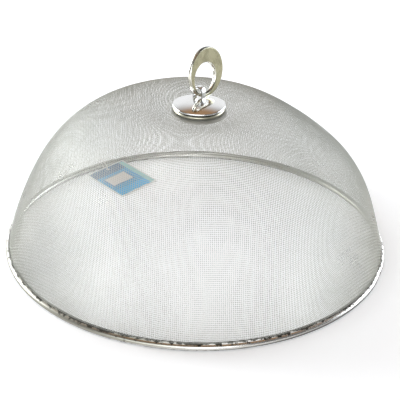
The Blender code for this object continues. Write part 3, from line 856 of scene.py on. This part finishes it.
def spun_lines(tree, where, fineness):
    """Noise that runs in circles about the object's axis, as turning or polishing leaves it."""
    level = node(tree, "ShaderNodeVectorMath", {0: where, 1: (1, 1, 0)}, operation="MULTIPLY").outputs[0]
    radius = node(tree, "ShaderNodeVectorMath", {0: level}, operation="LENGTH").outputs["Value"]
    height = node(tree, "ShaderNodeSeparateXYZ", {0: where}).outputs["Z"]
    section = node(tree, "ShaderNodeCombineXYZ", {"X": radius, "Z": height}).outputs[0]
    return noise(tree, section, fineness, detail=3.0)


def cosine_of(tree, first, second):
    """The dot product of two vectors, which for unit vectors is the cosine between them."""
    return node(tree, "ShaderNodeVectorMath", {0: first, 1: second}, operation="DOT_PRODUCT").outputs["Value"]


def raise_surface(tree, shader, height, distance, strength=1.0):
    bump = node(tree, "ShaderNodeBump", {"Height": height, "Distance": distance, "Strength": strength})
    tree.links.new(bump.outputs["Normal"], shader.inputs["Normal"])


def at_height(start, end, waver, outside_only=False):
    """A share that goes from 0 to 1 between two heights, along an uneven line."""
    def share(tree, where):
        height = node(tree, "ShaderNodeSeparateXYZ", {0: where}).outputs["Z"]
        uneven = spread(tree, noise(tree, where, WAVER_SCALE), -waver, waver)
        height = node(tree, "ShaderNodeMath", {0: height, 1: uneven}, operation="ADD").outputs[0]
        reached = smooth_share(tree, height, (start, end))
        return both(tree, reached, outside(tree, where)) if outside_only else reached
    return share


def outside(tree, where):
    """1 where the surface faces away from the object's axis."""
    level = node(tree, "ShaderNodeVectorMath", {0: where, 1: (1, 1, 0)}, operation="MULTIPLY").outputs[0]
    normal = node(tree, "ShaderNodeTexCoord").outputs["Normal"]
    away = cosine_of(tree, normal, level)
    return node(tree, "ShaderNodeMath", {0: away, 1: 0}, operation="GREATER_THAN").outputs[0]


def patches_of(share_of, scale):
    """A share that is kept only in patches."""
    def share(tree, where):
        return both(tree, share_of(tree, where), spread(tree, noise(tree, where, scale), 0, 1, 0.45, 0.6))
    return share


def facing(way, start, end):
    """A share that goes from 0 to 1 as the surface comes to face one way."""
    def share(tree, where):
        normal = node(tree, "ShaderNodeTexCoord").outputs["Normal"]
        return smooth_share(tree, cosine_of(tree, normal, way), (start, end))
    return share


def metal(name, clean, dull, roughness, rough_patches, lines=None, patch_scale=60.0, zones=()):
    """Bare or plated metal: duller patches, zones with a tint and finish, and fine lines. Most zones that the
    callers give are painted shade and painted reflections.
    """
    material, shader = new_material(name, clean, 1, roughness)
    tree = material.node_tree
    where = places(tree)
    patches = noise(tree, where, patch_scale)
    colour = blend_colours(tree, spread(tree, patches, 0, 1), clean, dull)
    rough = spread(tree, patches, roughness, rough_patches)
    for share_of, tint, finish in zones:
        share = share_of(tree, where)
        colour = blend_colours(tree, share, colour, tint)
        rough = blend_values(tree, share, rough, finish)
    tree.links.new(colour, shader.inputs["Base Color"])
    if lines:
        streaks = spun_lines(tree, where, lines)
        extra = spread(tree, streaks, 0, LINE_ROUGHNESS)
        rough = node(tree, "ShaderNodeMath", {0: rough, 1: extra}, operation="ADD").outputs[0]
        raise_surface(tree, shader, streaks, LINE_DEPTH)
    tree.links.new(rough, shader.inputs["Roughness"])
    return material


def inside(tree, value, limit):
    """1 where the value's size is under the limit."""
    size = node(tree, "ShaderNodeMath", {0: value}, operation="ABSOLUTE").outputs[0]
    return node(tree, "ShaderNodeMath", {0: size, 1: limit}, operation="LESS_THAN").outputs[0]


def both(tree, first, second):
    return node(tree, "ShaderNodeMath", {0: first, 1: second}, operation="MULTIPLY").outputs[0]


def printed_box(tree, x, y, middle, size):
    """1 inside a box on the card, given by its middle and size."""
    off_x = node(tree, "ShaderNodeMath", {0: x, 1: middle[0]}, operation="SUBTRACT").outputs[0]
    off_y = node(tree, "ShaderNodeMath", {0: y, 1: middle[1]}, operation="SUBTRACT").outputs[0]
    return both(tree, inside(tree, off_x, size[0] / 2), inside(tree, off_y, size[1] / 2))


def card_print():
    """Laminated card: a pale border round a blue field, with a darker band and a bare pale panel."""
    material, shader = new_material("card_print", CARD_BLUE, 0, 0.35)
    tree = material.node_tree
    where = places(tree)
    axes = node(tree, "ShaderNodeSeparateXYZ", {0: where}).outputs
    x, y = axes["X"], axes["Y"]
    middle = TAG_LENGTH / 2 - TAG_HOLE_INSET
    ink = noise(tree, where, CARD_INK, detail=2.0)
    field = blend_colours(tree, spread(tree, ink, 0, 1), CARD_BLUE, CARD_BLUE_LIGHT)
    inner = printed_box(tree, x, y, (0, middle), (TAG_WIDTH - CARD_BORDER, TAG_LENGTH - CARD_BORDER))
    colour = blend_colours(tree, inner, CARD_WHITE, field)
    for box_middle, size, tint in CARD_BOXES:
        colour = blend_colours(tree, printed_box(tree, x, y, box_middle, size), colour, tint)
    tree.links.new(colour, shader.inputs["Base Color"])
    tree.links.new(spread(tree, noise(tree, where, CARD_SMEARS), 0.28, 0.5), shader.inputs["Roughness"])
    raise_surface(tree, shader, ink, CARD_INK_DEPTH)
    return material


def twisted_thread():
    material, shader = new_material("thread_cotton", THREAD_PALE, 0, 0.85)
    tree = material.node_tree
    fibres = noise(tree, places(tree), THREAD_FIBRES, detail=5.0)
    colour = blend_colours(tree, spread(tree, fibres, 0, 1), THREAD_DARK, THREAD_PALE)
    tree.links.new(colour, shader.inputs["Base Color"])
    raise_surface(tree, shader, fibres, THREAD_DEPTH)
    return material


def make_floor():
    mesh = bpy.data.meshes.new("floor")
    half = FLOOR_SIZE / 2
    corners = [(-half, -half, 0), (half, -half, 0), (half, half, 0), (-half, half, 0)]
    mesh.from_pydata(corners, [], [(0, 1, 2, 3)])
    floor = bpy.data.objects.new("floor", mesh)
    bpy.context.scene.collection.objects.link(floor)
    material, shader = new_material("floor_paper", FLOOR_COLOUR, 0, 0.9)
    shader.inputs["Specular IOR Level"].default_value = 0.1
    tree = material.node_tree
    raise_surface(tree, shader, noise(tree, places(tree), FLOOR_GRAIN), FLOOR_GRAIN_DEPTH, 0.3)
    glow = node(tree, "ShaderNodeEmission", {"Color": (1, 1, 1, 1)})
    tree.links.new(seen_rays(tree, FLOOR_GLOW), glow.inputs["Strength"])
    both_shaders = node(tree, "ShaderNodeAddShader", {0: shader.outputs[0], 1: glow.outputs[0]})
    tree.links.new(both_shaders.outputs[0], tree.nodes["Material Output"].inputs["Surface"])
    mesh.materials.append(material)
    floor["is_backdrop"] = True


def seen_rays(tree, strength):
    """The strength for what the camera, a reflection or a view through glass sees, and 0 for other light."""
    path = node(tree, "ShaderNodeLightPath").outputs
    seen = path["Is Camera Ray"]
    for kind in ("Is Glossy Ray", "Is Transmission Ray"):
        seen = node(tree, "ShaderNodeMath", {0: seen, 1: path[kind]}, operation="MAXIMUM").outputs[0]
    return both(tree, seen, strength)


def make_room():
    """The room that lights the object and that metal reflects: dim walls with brighter patches."""
    world = bpy.data.worlds.new("room")
    world.use_nodes = True
    bpy.context.scene.world = world
    tree = world.node_tree
    way = node(tree, "ShaderNodeTexCoord").outputs["Generated"]
    colour = ROOM_WALLS
    for middle, cosines, tint in ROOM_LOBES:
        share = smooth_share(tree, cosine_of(tree, way, middle), cosines)
        colour = blend_colours(tree, share, colour, tint)
    tree.links.new(colour, tree.nodes["Background"].inputs["Color"])


def softbox(name, location, size, watts, target=(0, 0, 0.06)):
    lamp = bpy.data.lights.new(name, "AREA")
    lamp.shape = "RECTANGLE"
    lamp.size, lamp.size_y = size
    lamp.energy = watts
    obj = bpy.data.objects.new(name, lamp)
    bpy.context.scene.collection.objects.link(obj)
    obj.location = location
    obj.rotation_euler = (Vector(target) - Vector(location)).to_track_quat("-Z", "Y").to_euler()


def make_camera():
    right = Vector((1, 0, 0))
    up = Vector((0, math.sin(CAMERA_ELEVATION), math.cos(CAMERA_ELEVATION)))
    back = Vector((0, -math.cos(CAMERA_ELEVATION), math.sin(CAMERA_ELEVATION)))
    roll = Matrix.Rotation(CAMERA_ROLL, 3, back)
    right, up = roll @ right, roll @ up
    ray = Vector((RIM_CENTRE_PIXEL[0] - IMAGE_SIZE / 2, IMAGE_SIZE / 2 - RIM_CENTRE_PIXEL[1], FOCAL_PIXELS))
    ray = ray.normalized() * CAMERA_DISTANCE
    data = bpy.data.cameras.new("camera")
    data.sensor_width = SENSOR
    data.lens = FOCAL_PIXELS / IMAGE_SIZE * SENSOR
    camera = bpy.data.objects.new("camera", data)
    bpy.context.scene.collection.objects.link(camera)
    camera.matrix_world = Matrix((right, up, back)).transposed().to_4x4()
    camera.location = back * ray.z - right * ray.x - up * ray.y
    bpy.context.scene.camera = camera


def main():
    make_camera()
    wire = metal("wire_steel", WIRE_BRIGHT, WIRE_DULL, 0.26, 0.4, patch_scale=WIRE_PATCHES)
    # Painted dark reflections on the strip's sides, chosen by the way each side faces
    zones = [(facing(*side), tint, 0.3) for side, tint in BEAD_SHADED_SIDES]
    # Painted shade under the bead and along the seam where the mesh enters it
    zones.append((at_height(*BEAD_UNDERSIDE_SHADE), PAINTED_SHADE, 0.5))
    zones.append((at_height(*BEAD_SEAM_SHADE, outside_only=True), PAINTED_SHADE, 0.5))
    strip = metal("strip_steel", STRIP_BRIGHT, STRIP_DULL, 0.14, 0.26, lines=STRIP_LINES, zones=zones)
    plain = metal("plain_steel", PLAIN_BRIGHT, PLAIN_DULL, 0.34, 0.5, lines=PLAIN_LINES)
    # Painted shade in the cup's neck crease, and a painted cream reflection on its lip
    zones = [(at_height(*CUP_NECK_SHADE_LINE), PAINTED_SHADE, 0.4), (at_height(*CUP_LIP_REFLECTION_LINE), CUP_PAINTED_REFLECTION, 0.3)]
    cup = metal("cup_chrome", CHROME_BRIGHT, CHROME_DULL, 0.05, 0.11, lines=CHROME_LINES, zones=zones)
    # Painted dark reflections on both sides of the strap, chosen by the way each side faces
    zones = [(facing(side * strap_side_way(), 0.6, 0.9), STRAP_PAINTED_DARK_SIDES, 0.4) for side in (1, -1)]
    strap = metal("strap_chrome", CHROME_BRIGHT, CHROME_DULL, 0.05, 0.11, lines=CHROME_LINES, zones=zones)
    faces = [facing(side * ring_face_way(), *RING_FACE_COSINES) for side in (1, -1)]
    # Painted dark reflection on one stretch of the ring's edge, chosen by the way it faces
    zones = [(facing(*RING_PAINTED_DARK_WAY), RING_PAINTED_DARK_EDGE, 0.4)]
    zones += [(face, RING_FACE, 0.22) for face in faces]
    zones += [(patches_of(face, RING_FACE_PATCHES), RING_FACE_DULL, 0.3) for face in faces]
    plating = metal("ring_plating", RING_BRIGHT, RING_WORN, 0.12, 0.24, patch_scale=RING_PATCHES, zones=zones)
    dome = make_wires(wire)
    make_rim(strip)
    make_cup(cup)
    make_clamp(plain)
    make_strap(strap)
    make_ring(plating)
    make_card(card_print())
    make_tie(dome, twisted_thread())
    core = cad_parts["rim_core_wire"]
    core.data.materials.clear()
    core.data.materials.append(plain)
    make_floor()
    make_room()
    for softbox_facts in SOFTBOXES:
        softbox(*softbox_facts)
    bpy.context.scene.view_settings.view_transform = "Standard"
    boxes = {"cad": CAD_BOX, "visual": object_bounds()}
    boxes = {name: [list(corner) for corner in box] for name, box in boxes.items()}


main()
